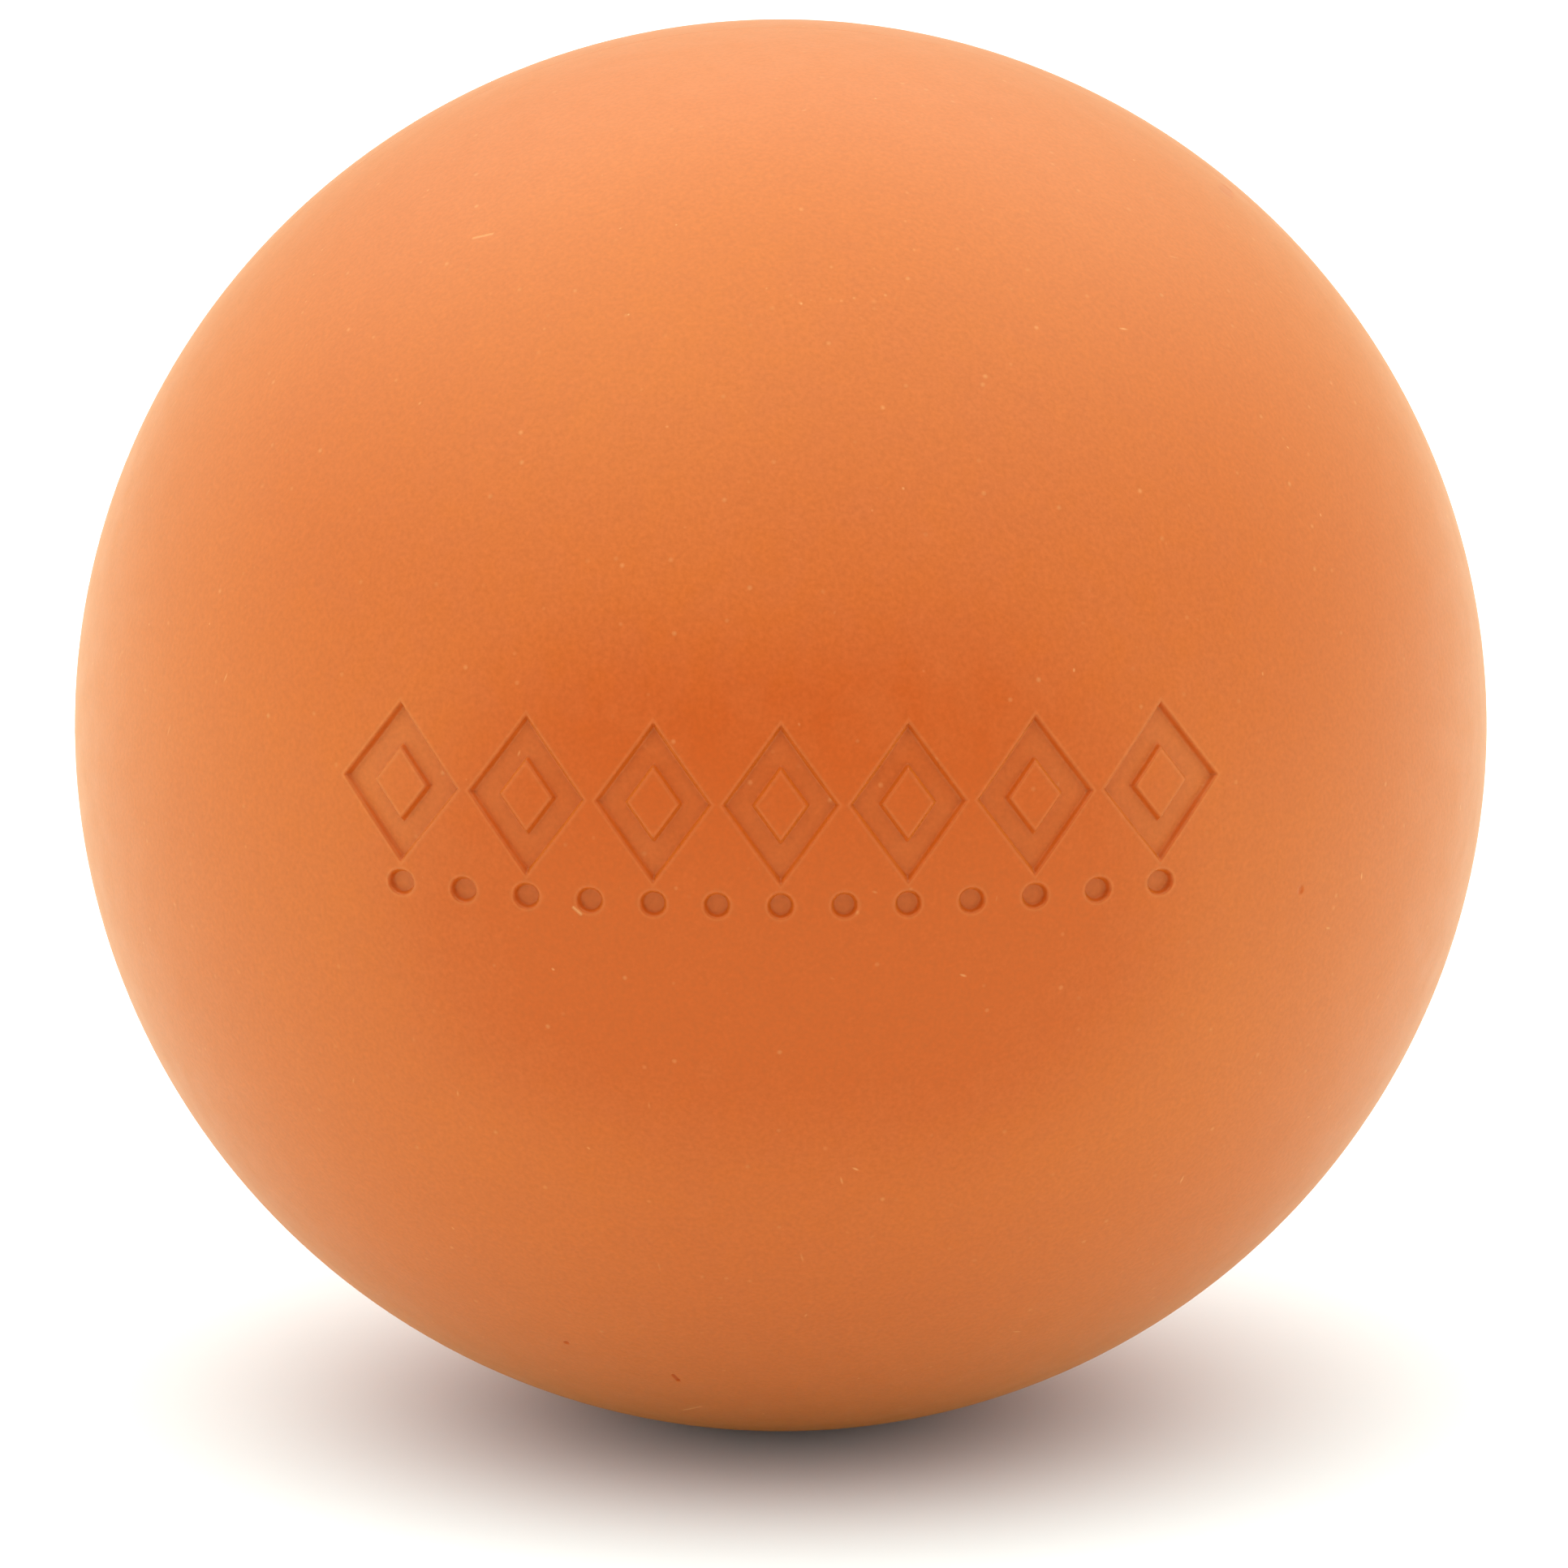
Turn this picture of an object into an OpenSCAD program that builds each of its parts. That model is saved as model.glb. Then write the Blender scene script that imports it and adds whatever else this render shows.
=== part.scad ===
// Lacrosse ball: one solid moulding of rubber.
//
// The ball is pressed in a mould of two cups. The rubber that fills one cup knits
// to the rubber in the other over the flat plane where the cups part, so the ball
// is drawn as those two halves. The centre of the ball is the origin and +Z is up.
// The cups part on the plane y = 0, and the front half, whose cup presses a band
// of shallow marks into it, faces -Y. All lengths are in millimetres.

/* [Ball] */
// Diameter of the ball
ball_d = 63.5; // [50:0.5:80]
// Bevel that trimming leaves on the rim of each half, where the cups part
rim_bevel = 0.15; // [0.05:0.05:0.5]

/* [Sunk marks] */
// Depth of the marks below the round surface
mark_depth = 0.3; // [0.1:0.05:0.8]
// Height of the lozenge row's middle line above the ball's centre
row_rise = 3.5; // [0:0.5:6]
// Number of lozenges in the row
lozenge_count = 7; // [3:1:8]
// Width of one lozenge
lozenge_w = 4.8; // [3.2:0.1:5.2]
// Height of one lozenge
lozenge_h = 6.6; // [4:0.1:8]
// Gap between the side points of two neighbouring lozenges
lozenge_gap = 0.6; // [0.3:0.1:1]
// Width of the sunk line that draws a lozenge round its raised island
line_w = 1; // [0.5:0.1:1.2]
// Diameter of one dot in the row under the lozenges
dot_d = 1; // [0.6:0.1:1.6]
// Gap between the lower points of the lozenges and the dots
dot_gap = 0.5; // [0.2:0.1:1]

/* [Hidden] */

// Overrun of every cut past the surface that it cuts
overrun = 1;
// Facets round the ball and round a dot when the model is drawn as a mesh
ball_facets = 180;
dot_facets = 36;

ball_r = ball_d / 2;
rim_r = ball_r - rim_bevel;
reach = ball_r + overrun;

lozenge_pitch = lozenge_w + lozenge_gap;
// Distance from the middle of a lozenge to its slanting sides
lozenge_inner_r = lozenge_w * lozenge_h / (2 * norm([lozenge_w, lozenge_h]));
island_share = 1 - line_w / lozenge_inner_r;

// One dot stands under each lozenge and one under each gap between two of them
dot_count = 2 * lozenge_count - 1;
dot_pitch = lozenge_pitch / 2;
dot_drop = lozenge_h / 2 + dot_gap + dot_d / 2;

// What fills one cup: the knit face on z = 0 and the round side up. The cone opens
// at 45 degrees from the knit face, so it bevels the rim and nothing else.
module cup_filling() {
    intersection() {
        sphere(r = ball_r, $fn = ball_facets);
        cylinder(h = reach, r1 = rim_r, r2 = rim_r + reach, $fn = ball_facets);
    }
}

// Copies of a flat mark, spread evenly on both sides of the middle
module spread(count, pitch) {
    for (i = [0 : count - 1])
        translate([(i - (count - 1) / 2) * pitch, 0])
            children();
}

module lozenge(w, h) {
    polygon([[-w / 2, 0], [0, -h / 2], [w / 2, 0], [0, h / 2]]);
}

module lozenge_line() {
    difference() {
        lozenge(lozenge_w, lozenge_h);
        lozenge(lozenge_w * island_share, lozenge_h * island_share);
    }
}

// The lozenge row with its dots below, flat, with the lozenges' middle line on y = 0
module mark_band() {
    spread(lozenge_count, lozenge_pitch)
        lozenge_line();
    translate([0, -dot_drop])
        spread(dot_count, dot_pitch)
            circle(d = dot_d, $fn = dot_facets);
}

// The space that the marks take. Their walls run straight out of the cup, so that
// the ball leaves it, and their floor follows the round surface.
module sunk_marks() {
    difference() {
        linear_extrude(height = reach)
            translate([0, row_rise])
                mark_band();
        sphere(r = ball_r - mark_depth, $fn = ball_facets);
    }
}

module front_half() {
    color("#d2692c")
        rotate([90, 0, 0])
            difference() {
                cup_filling();
                sunk_marks();
            }
}

module rear_half() {
    color("#d2692c")
        rotate([-90, 0, 0])
            cup_filling();
}

front_half();
rear_half();
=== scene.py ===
# Lacrosse ball, dressed for a studio picture: the skins of its two moulded halves, the rubber
# they are made of, and the white card that the ball lies on. Lengths are in metres.
import math

import bmesh
import bpy
import numpy as np
from bpy.props import FloatProperty, FloatVectorProperty, IntProperty, PointerProperty
from bpy.types import Operator, Panel, PropertyGroup
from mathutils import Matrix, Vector


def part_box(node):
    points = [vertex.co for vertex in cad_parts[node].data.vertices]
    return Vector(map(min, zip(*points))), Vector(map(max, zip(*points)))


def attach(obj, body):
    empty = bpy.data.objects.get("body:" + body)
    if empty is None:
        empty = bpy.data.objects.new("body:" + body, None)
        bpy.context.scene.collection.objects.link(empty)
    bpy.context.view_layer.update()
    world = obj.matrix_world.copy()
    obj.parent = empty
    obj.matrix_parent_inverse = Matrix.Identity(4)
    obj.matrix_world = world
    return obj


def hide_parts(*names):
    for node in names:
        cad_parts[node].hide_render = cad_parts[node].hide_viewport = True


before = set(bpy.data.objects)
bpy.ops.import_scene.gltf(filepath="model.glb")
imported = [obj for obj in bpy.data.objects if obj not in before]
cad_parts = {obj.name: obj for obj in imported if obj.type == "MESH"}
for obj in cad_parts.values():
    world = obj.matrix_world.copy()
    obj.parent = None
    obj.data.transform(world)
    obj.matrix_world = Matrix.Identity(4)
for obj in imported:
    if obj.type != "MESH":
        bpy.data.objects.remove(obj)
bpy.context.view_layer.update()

bl_info = {
    "name": "Lacrosse Ball",
    "version": (1, 0, 0),
    "blender": (4, 5, 0),
    "location": "View3D > Sidebar > Lacrosse Ball",
    "description": "Builds a solid rubber lacrosse ball from its two moulded halves",
    "category": "Add Mesh",
}

# The box of the CAD model, kept from before anything is added
# The front half reaches from the knit face at y = 0 to the front of the ball
BALL_R = -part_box("front_half")[0].y
MM = 0.001
# The photograph's frame is square, with this many pixels on a side
FRAME_PX = 1932
# The ball's outline in the photograph: a circle, by its middle and its radius in pixels
OUTLINE_X_PX = 962
OUTLINE_Y_PX = 893.5
OUTLINE_R_PX = 870


def hex_linear(code):
    """The linear colour of an sRGB hex value, with alpha 1."""
    parts = [int(code[i : i + 2], 16) / 255 for i in (0, 2, 4)]
    return [c / 12.92 if c <= 0.04045 else ((c + 0.055) / 1.055) ** 2.4 for c in parts] + [1.0]


class BallSizes(PropertyGroup):
    """Sizes of the ball and of the meshes that draw it."""

    radius: FloatProperty(
        name="Radius", description="Radius of the ball", default=BALL_R, unit="LENGTH", precision=5
    )
    rim_bevel: FloatProperty(
        name="Rim Bevel",
        description="Bevel that trimming leaves on the rim of each half",
        default=0.015 * MM,
        unit="LENGTH",
        precision=5,
    )
    coarse_step: FloatProperty(
        name="Coarse Step",
        description="Greatest distance between mesh points, where the skin is plain",
        default=0.8 * MM,
        unit="LENGTH",
        precision=5,
    )
    fine_step: FloatProperty(
        name="Fine Step",
        description="Distance between mesh points at the edges of marks and blemishes",
        default=0.05 * MM,
        unit="LENGTH",
        precision=5,
    )


class MarkSizes(PropertyGroup):
    """Sizes of the band of lozenges and dots sunk into the front half."""

    depth: FloatProperty(
        name="Depth",
        description="Depth of the marks",
        default=0.3 * MM,
        unit="LENGTH",
        precision=5,
    )
    edge: FloatProperty(
        name="Edge Width",
        description="Width of the soft slope that leads down into a mark",
        default=0.15 * MM,
        unit="LENGTH",
        precision=5,
    )
    # Painted shade: how much the colour of the marks' walls is darkened
    wall_painted_shade: FloatProperty(
        name="Wall Tone",
        description="How dark the walls of the marks are",
        default=0.55,
        min=0,
        max=1,
        subtype="FACTOR",
    )
    # Painted highlight: how much paler the colour along the marks' lips is made
    lip_painted_highlight: FloatProperty(
        name="Lip Tone",
        description="How pale the skin is along the lips of the marks",
        default=0.14,
        min=0,
        max=1,
        subtype="FACTOR",
    )
    row_rise: FloatProperty(
        name="Row Rise",
        description="Height of the lozenges' middle line above the ball's centre",
        default=3.5 * MM,
        unit="LENGTH",
        precision=5,
    )
    lozenge_count: IntProperty(
        name="Lozenges", description="Number of lozenges in the row", default=7, min=1
    )
    lozenge_w: FloatProperty(
        name="Lozenge Width", description="Width of one lozenge", default=4.8 * MM, unit="LENGTH"
    )
    lozenge_h: FloatProperty(
        name="Lozenge Height", description="Height of one lozenge", default=6.6 * MM, unit="LENGTH"
    )
    lozenge_gap: FloatProperty(
        name="Lozenge Gap",
        description="Gap between the side points of two lozenges",
        default=0.6 * MM,
        unit="LENGTH",
        precision=5,
    )
    line_w: FloatProperty(
        name="Line Width",
        description="Width of the sunk line round a lozenge's raised island",
        default=1.0 * MM,
        unit="LENGTH",
    )
    dot_d: FloatProperty(
        name="Dot Diameter", description="Diameter of a dot", default=1.0 * MM, unit="LENGTH"
    )
    dot_gap: FloatProperty(
        name="Dot Gap",
        description="Gap between the lozenges' lower points and the dots",
        default=0.5 * MM,
        unit="LENGTH",
        precision=5,
    )


class RubberLook(PropertyGroup):
    """Colours and finish of the moulded rubber."""

    body: FloatVectorProperty(
        name="Body Colour",
        description="Colour of the orange compound",
        subtype="COLOR",
        size=4,
        min=0,
        max=1,
        default=hex_linear("b64301"),
    )
    # The streak colour is also what the painted shade of the redder patch on the front mixes
    # towards
    streak_and_painted_shade: FloatVectorProperty(
        name="Streak Colour",
        description="Colour of the redder streaks where the compound mixed unevenly",
        subtype="COLOR",
        size=4,
        min=0,
        max=1,
        default=hex_linear("b13a01"),
    )
    # The bloom colour is also the colour of the painted highlight along the marks' lips
    bloom_and_painted_highlight: FloatVectorProperty(
        name="Bloom Colour",
        description="Colour of the pale wax, dust and lint that lie on the skin",
        subtype="COLOR",
        size=4,
        min=0,
        max=1,
        default=hex_linear("e2a468"),
    )
    # The scar colour is also the colour of the painted shade on the marks' walls
    scar_and_painted_shade: FloatVectorProperty(
        name="Scar Colour",
        description="Colour of rubber that is torn or pitted",
        subtype="COLOR",
        size=4,
        min=0,
        max=1,
        default=hex_linear("b0380c"),
    )
    roughness: FloatProperty(
        name="Roughness",
        description="Roughness that the blasted mould gives the skin",
        default=0.43,
        min=0,
        max=1,
        subtype="FACTOR",
    )
    grain: FloatProperty(
        name="Grain",
        description="Width of one grain of the blasted finish, a little coarse so that it shows",
        default=0.2 * MM,
        unit="LENGTH",
        precision=5,
    )


class StageLook(PropertyGroup):
    """The camera and the light of the studio."""

    distance: FloatProperty(
        name="Camera Distance",
        description="Distance from the camera to the ball's centre",
        default=0.5,
        unit="LENGTH",
    )
    elevation: FloatProperty(
        name="Camera Elevation",
        description="Angle of the camera above the ball's centre",
        default=math.radians(12.5),
        subtype="ANGLE",
    )
    floor: FloatVectorProperty(
        name="Floor Colour",
        description="Colour of the white card under the ball",
        subtype="COLOR",
        size=4,
        min=0,
        max=1,
        default=hex_linear("f4f1ea"),
    )
    daylight: FloatVectorProperty(
        name="Daylight Colour",
        description="Colour of the light that the room gives",
        subtype="COLOR",
        size=4,
        min=0,
        max=1,
        default=hex_linear("ebfaff"),
    )


def add_node(tree, kind, inputs=(), **settings):
    """Adds a node. Each input is a value, or the socket of another node to link from."""
    made = tree.nodes.new(kind)
    for key, value in settings.items():
        setattr(made, key, value)
    for key, value in dict(inputs).items():
        if isinstance(value, bpy.types.NodeSocket):
            tree.links.new(value, made.inputs[key])
        else:
            made.inputs[key].default_value = value
    return made


def smooth(t):
    """A smooth step from 0 to 1 as t goes from 0 to 1."""
    t = np.clip(t, 0.0, 1.0)
    return t * t * (3.0 - 2.0 * t)


def lozenge_distance(x, z, width, height):
    """How far points lie inside a lozenge's outline: positive inside, negative outside."""
    half_w, half_h = width / 2, height / 2
    inside = half_w * half_h - np.abs(x) * half_h - np.abs(z) * half_w
    return inside / math.hypot(half_w, half_h)


def nearest_offset(x, count, pitch):
    """Each x, measured from the nearest of count places spread evenly about the middle."""
    last = (count - 1) / 2
    place = np.clip(np.round(x / pitch + last), 0, count - 1) - last
    return x - place * pitch


def inside_marks(points, marks):
    """How far points on the front lie inside the marks' outlines, seen from straight ahead."""
    x, y, z = points.T
    pitch = marks.lozenge_w + marks.lozenge_gap
    at_x = nearest_offset(x, marks.lozenge_count, pitch)
    outer = lozenge_distance(at_x, z - marks.row_rise, marks.lozenge_w, marks.lozenge_h)
    line = np.minimum(outer, marks.line_w - outer)
    dot_z = marks.row_rise - marks.lozenge_h / 2 - marks.dot_gap - marks.dot_d / 2
    dot_x = nearest_offset(x, 2 * marks.lozenge_count - 1, pitch / 2)
    dot = marks.dot_d / 2 - np.hypot(dot_x, z - dot_z)
    # The far sides of the ball carry no marks
    return np.where(y < -BALL_R / 2, np.maximum(line, dot), -np.inf)


# What moulding and handling left on the front half: the longitude and latitude in degrees of
# each one's two ends, its width and depth in millimetres, and how dark it is, or how pale
# where the number is below zero
BLEMISHES = {
    "pit beside the dots": ((45.1, -4.2), (45.1, -4.2), 0.46, 0.05, 0.5),
    "low pit": ((-26.0, -47.6), (-26.0, -47.6), 0.34, 0.08, 0.9),
    "low dash": ((-13.9, -51.9), (-13.6, -53.0), 0.24, 0.08, 0.9),
    "hair scratch": ((-16.6, -61.4), (-12.7, -59.6), 0.16, 0.02, -0.9),
    "rub by the parting line": ((82.6, 51.2), (85.8, 51.2), 0.9, 0.02, 1.0),
    "pale dash": ((-42.3, 51.5), (-39.9, 52.2), 0.2, 0.01, -0.5),
    "fleck beside a dot": ((-16.1, -2.1), (-15.5, -2.6), 0.16, 0.03, -0.9),
}
# Wide patches of the front half: one where dust clings, and a darker, redder one across the middle
# of the front, partly the compound's redder blotches and partly painted shade where the front
# faces the room's darker camera side. For each, the longitude and latitude in degrees of its two
# ends, its width in millimetres, and its strength
PATCHES = {
    "dust": ((6.0, 47.5), (15.0, 52.5), 5.0, 0.3),
    "redder_blotches_and_painted_shade": ((-10.0, -2.0), (12.0, -3.0), 30.0, 0.4),
}
# What the material reads from the skins, point by point
# Of these, the second holds the blemishes' own colour together with the painted shade on the
# marks' walls and the painted highlight along their lips
SKIN_SHARES = ("sunk", "scars_and_painted_light", *PATCHES)
# Where the painted highlight runs along the lips beside the marks, in widths of their soft slope:
# how far outside the outline the middle of that strip lies, and half the strip's own width
LIP_OUT, LIP_HALF_W = 0.9, 0.5


def direction_of(place):
    """The direction of a longitude, counted from the front, and a latitude, in degrees."""
    lon, lat = (math.radians(angle) for angle in place)
    return np.array([math.cos(lat) * math.sin(lon), -math.cos(lat) * math.cos(lon), math.sin(lat)])


def distance_to(points, radius, start, end):
    """How far points lie from the line that joins two places on the ball."""
    first, last = direction_of(start) * radius, direction_of(end) * radius
    along = last - first
    length_squared = max(along @ along, np.finfo(float).tiny)
    share = np.clip((points - first) @ along / length_squared, 0, 1)
    return np.linalg.norm(points - first - share[:, None] * along, axis=1)


def blemish_share(points, radius, start, end, width):
    """1 in the middle third of the width of a blemish or patch, fading to 0 at its edge."""
    return smooth(1.5 * (1 - 2 * distance_to(points, radius, start, end) / width))


def graded(end, fine, coarse):
    """Places from -end to end, coarse apart, drawing together to fine at both ends."""
    growth = 0.22
    places = [-end]
    while places[-1] < end:
        margin = end - abs(places[-1])
        places.append(places[-1] + min(coarse, fine + growth * margin))
    places = np.array(places)
    return (places + end) * 2 * end / (places[-1] + end) - end


def plain_half(name, side):
    """The closed mesh of one half as a plain half ball, with its dome towards side * Y.

    The dome is a grid of longitudes and latitudes whose first and last columns are the rim,
    and the knit face on y = 0 joins those two columns."""
    sizes = bpy.context.scene.ball_sizes
    quarter_turn = sizes.radius * math.pi / 2
    places = graded(quarter_turn, sizes.rim_bevel / 4, sizes.coarse_step) / sizes.radius
    lon, lat = np.meshgrid(places, places[1:-1])
    directions = np.stack(
        [np.cos(lat) * np.sin(lon), side * np.cos(lat) * np.cos(lon), np.sin(lat)], axis=-1
    )
    # The rim's columns and both poles lie on the knit plane exactly
    directions[:, [0, -1], 1] = 0
    rows, columns = lon.shape
    south, north = rows * columns, rows * columns + 1
    directions = np.vstack([directions.reshape(-1, 3), [[0, 0, -1], [0, 0, 1]]])

    index = np.arange(rows * columns).reshape(rows, columns)
    quads = np.stack([index[:-1, :-1], index[:-1, 1:], index[1:, 1:], index[1:, :-1]], axis=-1)
    faces = quads.reshape(-1, 4).tolist()
    faces += [[south, b, a] for a, b in zip(index[0, :-1], index[0, 1:])]
    faces += [[north, a, b] for a, b in zip(index[-1, :-1], index[-1, 1:])]
    left, right = index[:, 0], index[:, -1]
    faces += [[right[i], left[i], left[i + 1], right[i + 1]] for i in range(rows - 1)]
    faces += [[south, left[0], right[0]], [north, right[-1], left[-1]]]
    if side > 0:
        faces = [face[::-1] for face in faces]
    mesh = bpy.data.meshes.new(name)
    mesh.from_pydata(directions * sizes.radius, [], [[int(v) for v in face] for face in faces])
    return mesh


def half_skin(name, side, depth_at, edge_distance=None):
    """The skin of one half: a plain half whose faces are halved towards where edge_distance is
    0, and whose points are then sunk. depth_at gives how far each point goes below the ball's
    round surface, and the named shares that the material reads."""
    radius = bpy.context.scene.ball_sizes.radius
    mesh = plain_half(name, side)
    work = bmesh.new()
    work.from_mesh(mesh)
    if edge_distance:
        refine(work, edge_distance)
    shade_half(work)
    directions = np.array([vert.co.normalized() for vert in work.verts])
    work.to_mesh(mesh)
    work.free()

    depth, shares = depth_at(directions * radius)
    points = directions * (radius - depth)[:, None]
    mesh.vertices.foreach_set("co", points.ravel())
    for share, values in shares.items():
        layer = mesh.attributes.new(share, "FLOAT", "POINT")
        layer.data.foreach_set("value", values.astype(np.float32))
    mesh.update()
    half = bpy.data.objects.new(name, mesh)
    bpy.context.scene.collection.objects.link(half)
    return half


def refine(work, edge_distance):
    """Halves the faces near the edges of marks and blemishes until they are fine enough.

    Each round reaches two of its own faces away from the edges, which is twice as far as the
    next one, so the faces grow step by step with their distance."""
    reach_in_faces = 2
    sizes = bpy.context.scene.ball_sizes
    step = sizes.coarse_step
    while step > sizes.fine_step:
        centres = np.array([face.calc_center_median() for face in work.faces])
        for face, distance in zip(work.faces, edge_distance(centres)):
            face.tag = bool(distance < reach_in_faces * step)
        edges = [edge for edge in work.edges if any(face.tag for face in edge.link_faces)]
        bmesh.ops.subdivide_edges(work, edges=edges, cuts=1, use_grid_fill=True)
        step /= 2


def shade_half(work):
    """Shades the dome smooth and the knit face flat, with a sharp rim between them."""
    for face in work.faces:
        flat = all(vert.co.y == 0 for vert in face.verts)
        face.smooth = not flat
        if flat:
            for edge in face.edges:
                edge.smooth = False


def finish_half(half, node):
    """Gives a half its rubber, and lets it stand for its CAD node."""
    half.data.materials.append(moulded_rubber())
    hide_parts(node)
    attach(half, "root")


def rim_depth(points):
    """Depth of the rim's bevel below the round surface."""
    bevel = bpy.context.scene.ball_sizes.rim_bevel
    return np.maximum(bevel - np.abs(points[:, 1]), 0)


class FrontHalf(Operator):
    """Add the front moulded half, with its sunk marks and blemishes"""

    bl_idname = "mesh.lacrosse_front_half"
    bl_label = "Add Front Half"

    def execute(self, context):
        sizes, marks = context.scene.ball_sizes, context.scene.ball_marks

        def edge_distance(points):
            distances = [np.abs(inside_marks(points, marks))]
            for start, end, width, _depth, _shade in BLEMISHES.values():
                distances.append(distance_to(points, sizes.radius, start, end) - width * MM / 2)
            return np.min(distances, axis=0)

        def depth_at(points):
            inside = inside_marks(points, marks) / marks.edge
            sunk = smooth(inside + 0.5)
            depth = sunk * marks.depth + rim_depth(points)
            # Painted shade darkens the walls, most of all halfway down, and a painted highlight
            # makes the lips above them paler
            scars_and_painted_light = marks.wall_painted_shade * 4 * sunk * (1 - sunk)
            scars_and_painted_light -= marks.lip_painted_highlight * smooth(1 - np.abs(inside + LIP_OUT) / LIP_HALF_W)
            for start, end, width, deep, shade in BLEMISHES.values():
                share = blemish_share(points, sizes.radius, start, end, width * MM)
                depth += share * deep * MM
                scars_and_painted_light += share * shade
            shares = {"sunk": sunk, "scars_and_painted_light": scars_and_painted_light}
            for label, (start, end, width, strength) in PATCHES.items():
                patch = blemish_share(points, sizes.radius, start, end, width * MM)
                shares[label] = strength * patch
            return depth, shares

        half = half_skin("front_half_skin", -1, depth_at, edge_distance)
        finish_half(half, "front_half")
        return {"FINISHED"}


class RearHalf(Operator):
    """Add the rear moulded half"""

    bl_idname = "mesh.lacrosse_rear_half"
    bl_label = "Add Rear Half"

    def execute(self, context):
        def depth_at(points):
            return rim_depth(points), {share: np.zeros(len(points)) for share in SKIN_SHARES}

        half = half_skin("rear_half_skin", 1, depth_at)
        finish_half(half, "rear_half")
        return {"FINISHED"}


def scattered(tree, place, spacing, radius, share, stretch=1.0, turn=(0.0, 0.0, 0.0)):
    """Sparse specks of all strengths: up to 1 in the core of a speck, and 0 from its edge on.
    There is one cell to a spacing, a share of the cells hold a speck, and stretch draws each
    speck out along the turned X axis."""
    core_share = 0.3
    cells_at = add_node(
        tree,
        "ShaderNodeMapping",
        {"Vector": place, "Rotation": turn, "Scale": (spacing * stretch, spacing, spacing)},
        vector_type="TEXTURE",
    )
    cells = add_node(tree, "ShaderNodeTexVoronoi", {"Vector": cells_at.outputs[0], "Scale": 1.0})
    inside = add_node(
        tree,
        "ShaderNodeMapRange",
        {
            "Value": cells.outputs["Distance"],
            "From Min": radius / spacing,
            "From Max": radius / spacing * core_share,
        },
    )
    draw = add_node(tree, "ShaderNodeSeparateColor", {"Color": cells.outputs["Color"]})
    chosen = add_node(
        tree, "ShaderNodeMapRange", {"Value": draw.outputs["Red"], "From Min": 1 - share}
    )
    both = {0: inside.outputs["Result"], 1: chosen.outputs["Result"]}
    return add_node(tree, "ShaderNodeMath", both, operation="MULTIPLY").outputs[0]


def weighted_sum(tree, terms):
    """The sum of sockets, each times its own weight or share, kept between 0 and 1."""
    total = 0.0
    for socket, weight in terms:
        total = add_node(
            tree,
            "ShaderNodeMath",
            {0: socket, 1: weight, 2: total},
            operation="MULTIPLY_ADD",
            use_clamp=True,
        ).outputs[0]
    return total


def mixed(tree, share, first, second):
    """The colour that goes from the first to the second as share goes from 0 to 1."""
    mix = add_node(tree, "ShaderNodeMix", {0: share, 6: first, 7: second}, data_type="RGBA")
    return mix.outputs[2]


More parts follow.
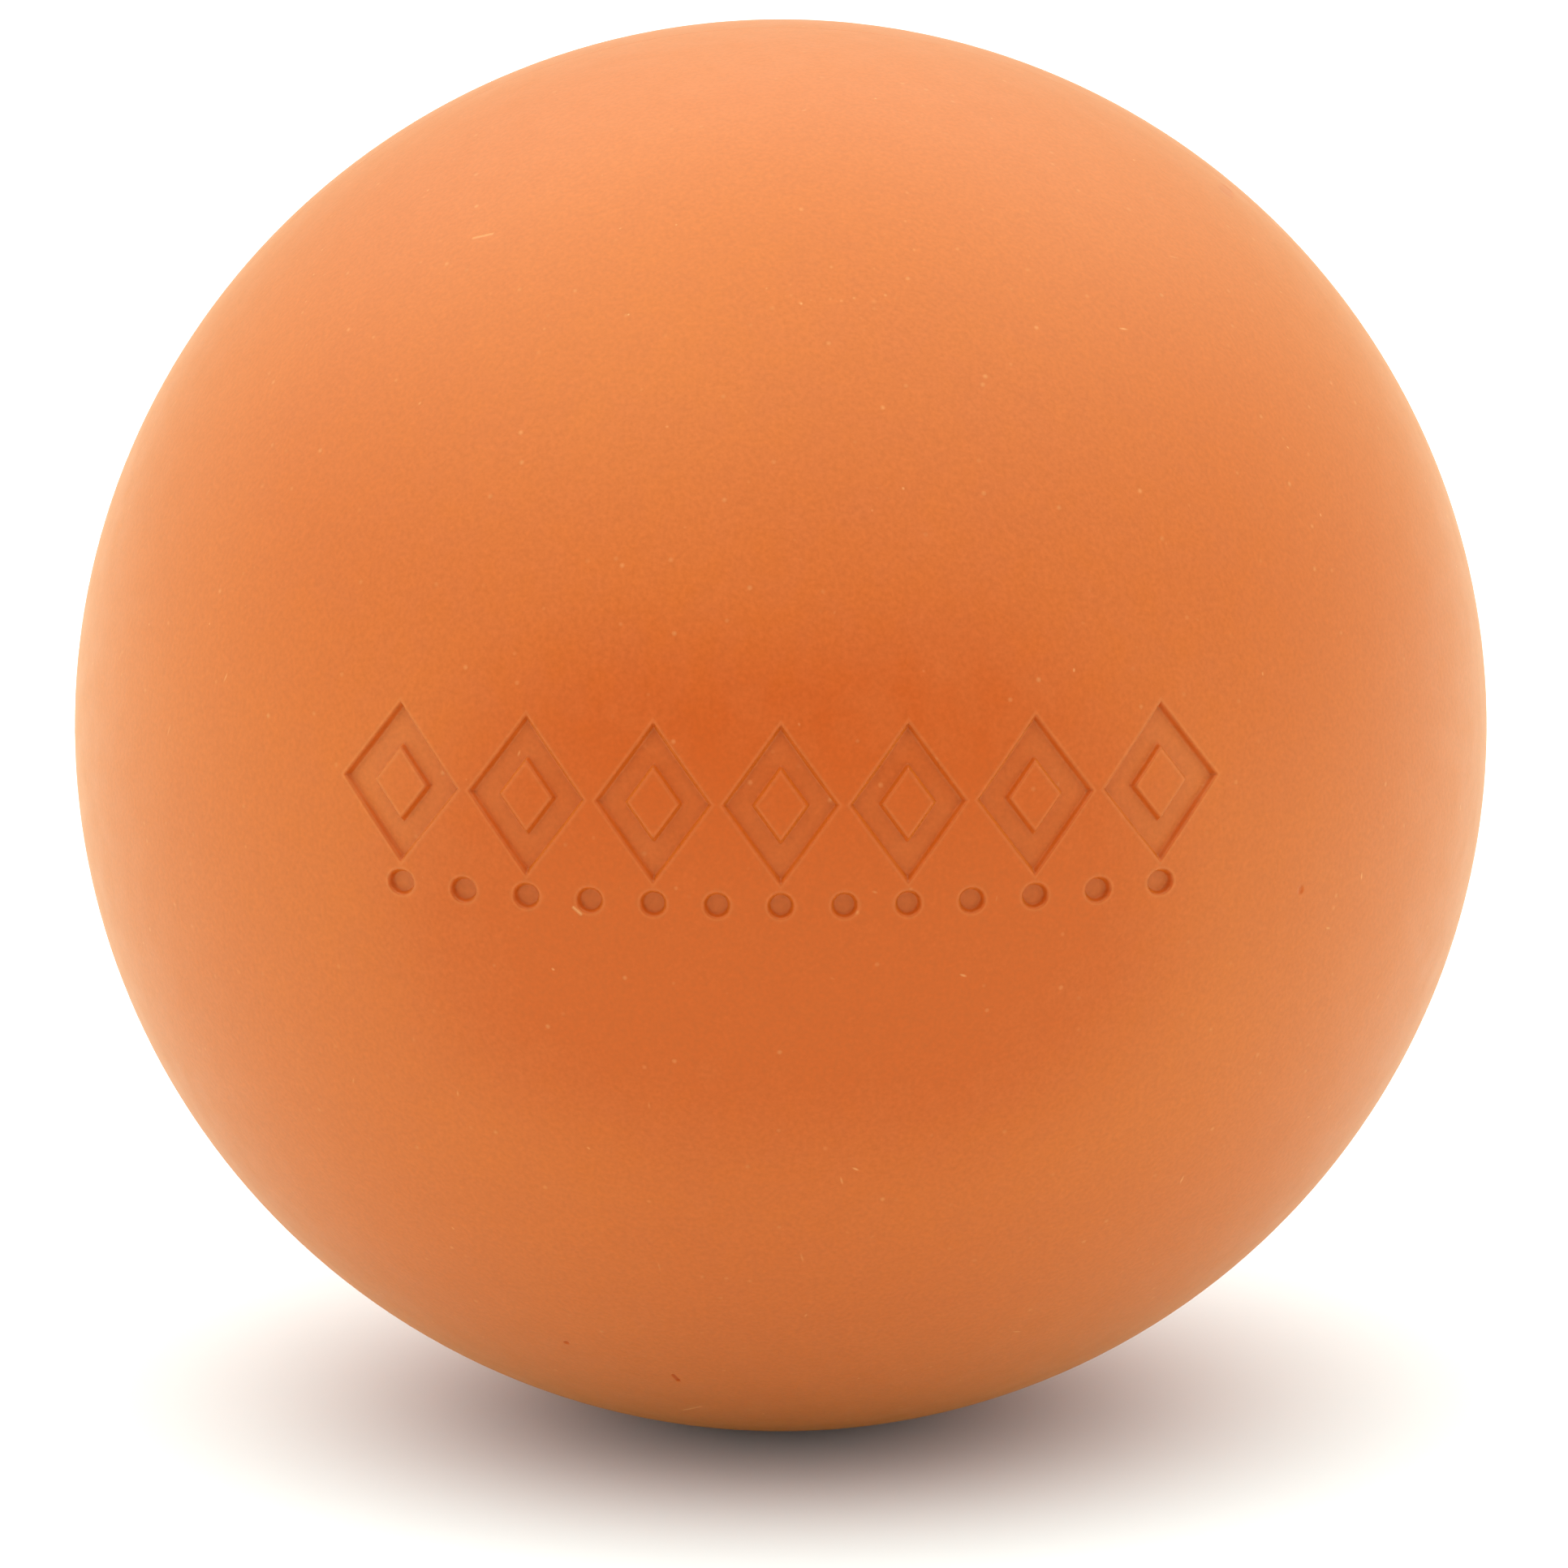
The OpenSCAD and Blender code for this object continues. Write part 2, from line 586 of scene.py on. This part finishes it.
def moulded_rubber():
    """Vulcanised natural rubber from a blasted steel mould: an even orange that is matte to
    the eye, with faint redder streaks, a fine grain, a warm sheen from the wax that blooms out
    of the compound, and a few specks of dust and lint. Its colour also holds painted shade on the
    marks' walls and in a redder patch on the front, and a painted highlight along the marks' lips."""
    name = "moulded_rubber"
    if name in bpy.data.materials:
        return bpy.data.materials[name]
    look = bpy.context.scene.ball_rubber
    rubber = bpy.data.materials.new(name)
    rubber.use_nodes = True
    tree = rubber.node_tree
    tree.nodes.clear()
    place = add_node(tree, "ShaderNodeTexCoord").outputs["Object"]

    # Drifts and mottling in the compound, and the grain of the mould: the width of each, and
    # how many finer layers of noise lie over it
    patterns = {"drift": (20 * MM, 2.0), "mottle": (1.5 * MM, 3.0), "grain": (look.grain, 3.0)}
    noise = {}
    for label, (width, detail) in patterns.items():
        noise[label] = add_node(
            tree,
            "ShaderNodeTexNoise",
            {"Vector": place, "Scale": 1 / width, "Detail": detail},
            label=label,
        ).outputs["Fac"]
    sunk, scars_and_painted_light, dust, redder_blotches_and_painted_shade = (
        add_node(tree, "ShaderNodeAttribute", attribute_name=share).outputs["Fac"]
        for share in SKIN_SHARES
    )

    specks = scattered(tree, place, 1.1 * MM, 0.14 * MM, 0.6)
    dust_specks = scattered(tree, place, 0.45 * MM, 0.1 * MM, 0.5)
    dark_specks = scattered(tree, place, 1.5 * MM, 0.1 * MM, 0.35, turn=(0.3, 0.5, 0.7))
    lint = [
        scattered(tree, place, 0.9 * MM, 0.07 * MM, 0.12, 5.0, (turn + 0.4, turn, 2 * turn))
        for turn in (0.3, 1.2, 2.2)
    ]

    # How redder the compound is, with painted shade in the redder patch on the front; how pale
    # with wax, dust and lint, and with the painted highlight along the marks' lips; and how torn
    # or pitted, with the painted shade on the marks' walls
    streaks = weighted_sum(tree, [(noise["drift"], 0.7), (noise["mottle"], 0.6), (redder_blotches_and_painted_shade, 1.0)])
    streaks = add_node(
        tree, "ShaderNodeMapRange", {"Value": streaks, "From Min": 0.45, "From Max": 0.85}
    ).outputs["Result"]
    pale_terms = [(noise["mottle"], 0.06), (noise["grain"], 0.05), (specks, 0.22)]
    pale_terms += [(dust_specks, dust)] + [(fibre, 0.45) for fibre in lint]
    pale_terms += [(sunk, 0.03), (redder_blotches_and_painted_shade, -0.15), (scars_and_painted_light, -0.5)]
    pale = weighted_sum(tree, pale_terms)
    dark = weighted_sum(tree, [(dark_specks, 0.5), (scars_and_painted_light, 0.7)])
    colour = mixed(tree, streaks, look.body, look.streak_and_painted_shade)
    colour = mixed(tree, pale, colour, look.bloom_and_painted_highlight)
    colour = mixed(tree, dark, colour, look.scar_and_painted_shade)
    value = add_node(
        tree, "ShaderNodeMapRange", {"Value": noise["grain"], "To Min": 0.84, "To Max": 1.16}
    ).outputs["Result"]
    colour = add_node(
        tree, "ShaderNodeHueSaturation", {"Value": value, "Color": colour}
    ).outputs["Color"]

    roughness = add_node(
        tree,
        "ShaderNodeMapRange",
        {
            "Value": noise["mottle"],
            "To Min": look.roughness - 0.06,
            "To Max": look.roughness + 0.06,
        },
    ).outputs["Result"]
    bump = add_node(
        tree,
        "ShaderNodeBump",
        {"Height": noise["grain"], "Strength": 1.0, "Distance": 0.006 * MM},
    )
    shader = add_node(
        tree,
        "ShaderNodeBsdfPrincipled",
        {
            "Base Color": colour,
            "Roughness": roughness,
            "IOR": 1.5,
            "Specular Tint": hex_linear("ffffb6"),
            "Sheen Weight": 0.25,
            "Sheen Roughness": 0.65,
            "Sheen Tint": hex_linear("ffca3d"),
            "Normal": bump.outputs["Normal"],
        },
    )
    add_node(tree, "ShaderNodeOutputMaterial", {"Surface": shader.outputs["BSDF"]})
    return rubber


def place_camera(context):
    """Stands the camera so that the ball's outline fills the photograph's circle."""
    stage, radius = context.scene.ball_stage, context.scene.ball_sizes.radius
    lens = bpy.data.cameras.new("camera")
    camera = bpy.data.objects.new("camera", lens)
    context.scene.collection.objects.link(camera)
    camera.location = (
        0,
        -stage.distance * math.cos(stage.elevation),
        stage.distance * math.sin(stage.elevation),
    )
    camera.rotation_euler = (math.pi / 2 - stage.elevation, 0, 0)
    outline = radius / math.sqrt(stage.distance**2 - radius**2)
    lens.lens = lens.sensor_width * OUTLINE_R_PX / FRAME_PX / outline
    lens.shift_x = (FRAME_PX / 2 - OUTLINE_X_PX) / FRAME_PX
    lens.shift_y = (OUTLINE_Y_PX - FRAME_PX / 2) / FRAME_PX
    context.scene.camera = camera


# The room's even light, and what its panels add to it: where each one stands, the cosines at
# its edge and its core, and its strength. The camera's side of the room is darker.
ROOM_LIGHT = 1.09
PANELS = {
    "ceiling": ((0.0, 0.05, 1.0), 0.37, 0.9, 1.72),
    "left window": ((-0.8, 0.0, 0.6), 0.5, 0.9, 0.49),
    "right window": ((0.8, 0.0, 0.6), 0.5, 0.9, 0.23),
    "camera side": ((0.0, -1.0, 0.13), 0.45, 0.9, -0.53),
}


def light_world(context):
    """A pale room whose walls and ceiling give soft daylight."""
    world = bpy.data.worlds.new("studio")
    context.scene.world = world
    world.use_nodes = True
    tree = world.node_tree
    tree.nodes.clear()
    direction = add_node(tree, "ShaderNodeTexCoord").outputs["Generated"]
    total = ROOM_LIGHT
    for label, (towards, edge, core, strength) in PANELS.items():
        facing = add_node(
            tree,
            "ShaderNodeVectorMath",
            {0: direction, 1: Vector(towards).normalized()},
            operation="DOT_PRODUCT",
            label=label,
        )
        glow = add_node(
            tree,
            "ShaderNodeMapRange",
            {
                "Value": facing.outputs["Value"],
                "From Min": edge,
                "From Max": core,
                "To Max": strength,
            },
            interpolation_type="SMOOTHSTEP",
        )
        total = add_node(
            tree, "ShaderNodeMath", {0: glow.outputs["Result"], 1: total}, operation="ADD"
        ).outputs[0]
    colour = context.scene.ball_stage.daylight
    room = add_node(tree, "ShaderNodeBackground", {"Color": colour, "Strength": total})
    add_node(tree, "ShaderNodeOutputWorld", {"Surface": room.outputs["Background"]})


def lay_floor(context):
    """A wide white sheet of matte card under the ball."""
    stage, radius = context.scene.ball_stage, context.scene.ball_sizes.radius
    card = bpy.data.materials.new("white_card")
    card.use_nodes = True
    tree = card.node_tree
    tree.nodes.clear()
    shader = add_node(tree, "ShaderNodeBsdfDiffuse", {"Color": stage.floor, "Roughness": 0.5})
    add_node(tree, "ShaderNodeOutputMaterial", {"Surface": shader.outputs["BSDF"]})
    reach = 12.0
    corners = [(-reach, -reach), (reach, -reach), (reach, reach), (-reach, reach)]
    mesh = bpy.data.meshes.new("floor")
    mesh.from_pydata([(x, y, -radius) for x, y in corners], [], [(0, 1, 2, 3)])
    mesh.materials.append(card)
    floor = bpy.data.objects.new("floor", mesh)
    context.scene.collection.objects.link(floor)


class Studio(Operator):
    """Add the camera, the white floor and the soft light"""

    bl_idname = "scene.lacrosse_studio"
    bl_label = "Add Studio"

    def execute(self, context):
        place_camera(context)
        lay_floor(context)
        light_world(context)
        context.scene.view_settings.view_transform = "Standard"
        return {"FINISHED"}


class SidebarPanel(Panel):
    """Lists the ball's sizes and the operators that build it"""

    bl_idname = "VIEW3D_PT_lacrosse_ball"
    bl_label = "Lacrosse Ball"
    bl_space_type = "VIEW_3D"
    bl_region_type = "UI"
    bl_category = "Lacrosse Ball"

    def draw(self, context):
        layout = self.layout
        for group in GROUPS:
            box = layout.box()
            settings = getattr(context.scene, group)
            for key in settings.bl_rna.properties.keys():
                if key not in ("rna_type", "name"):
                    box.prop(settings, key)
        for operator in (Studio, FrontHalf, RearHalf):
            layout.operator(operator.bl_idname)


GROUPS = {
    "ball_sizes": BallSizes,
    "ball_marks": MarkSizes,
    "ball_rubber": RubberLook,
    "ball_stage": StageLook,
}
CLASSES = [*GROUPS.values(), FrontHalf, RearHalf, Studio, SidebarPanel]


def register():
    for cls in CLASSES:
        bpy.utils.register_class(cls)
    for group, cls in GROUPS.items():
        setattr(bpy.types.Scene, group, PointerProperty(type=cls))


def unregister():
    for group in GROUPS:
        delattr(bpy.types.Scene, group)
    for cls in reversed(CLASSES):
        bpy.utils.unregister_class(cls)


def main():
    register()
    bpy.ops.scene.lacrosse_studio()
    bpy.ops.mesh.lacrosse_front_half()
    bpy.ops.mesh.lacrosse_rear_half()


if __name__ == "__main__":
    main()
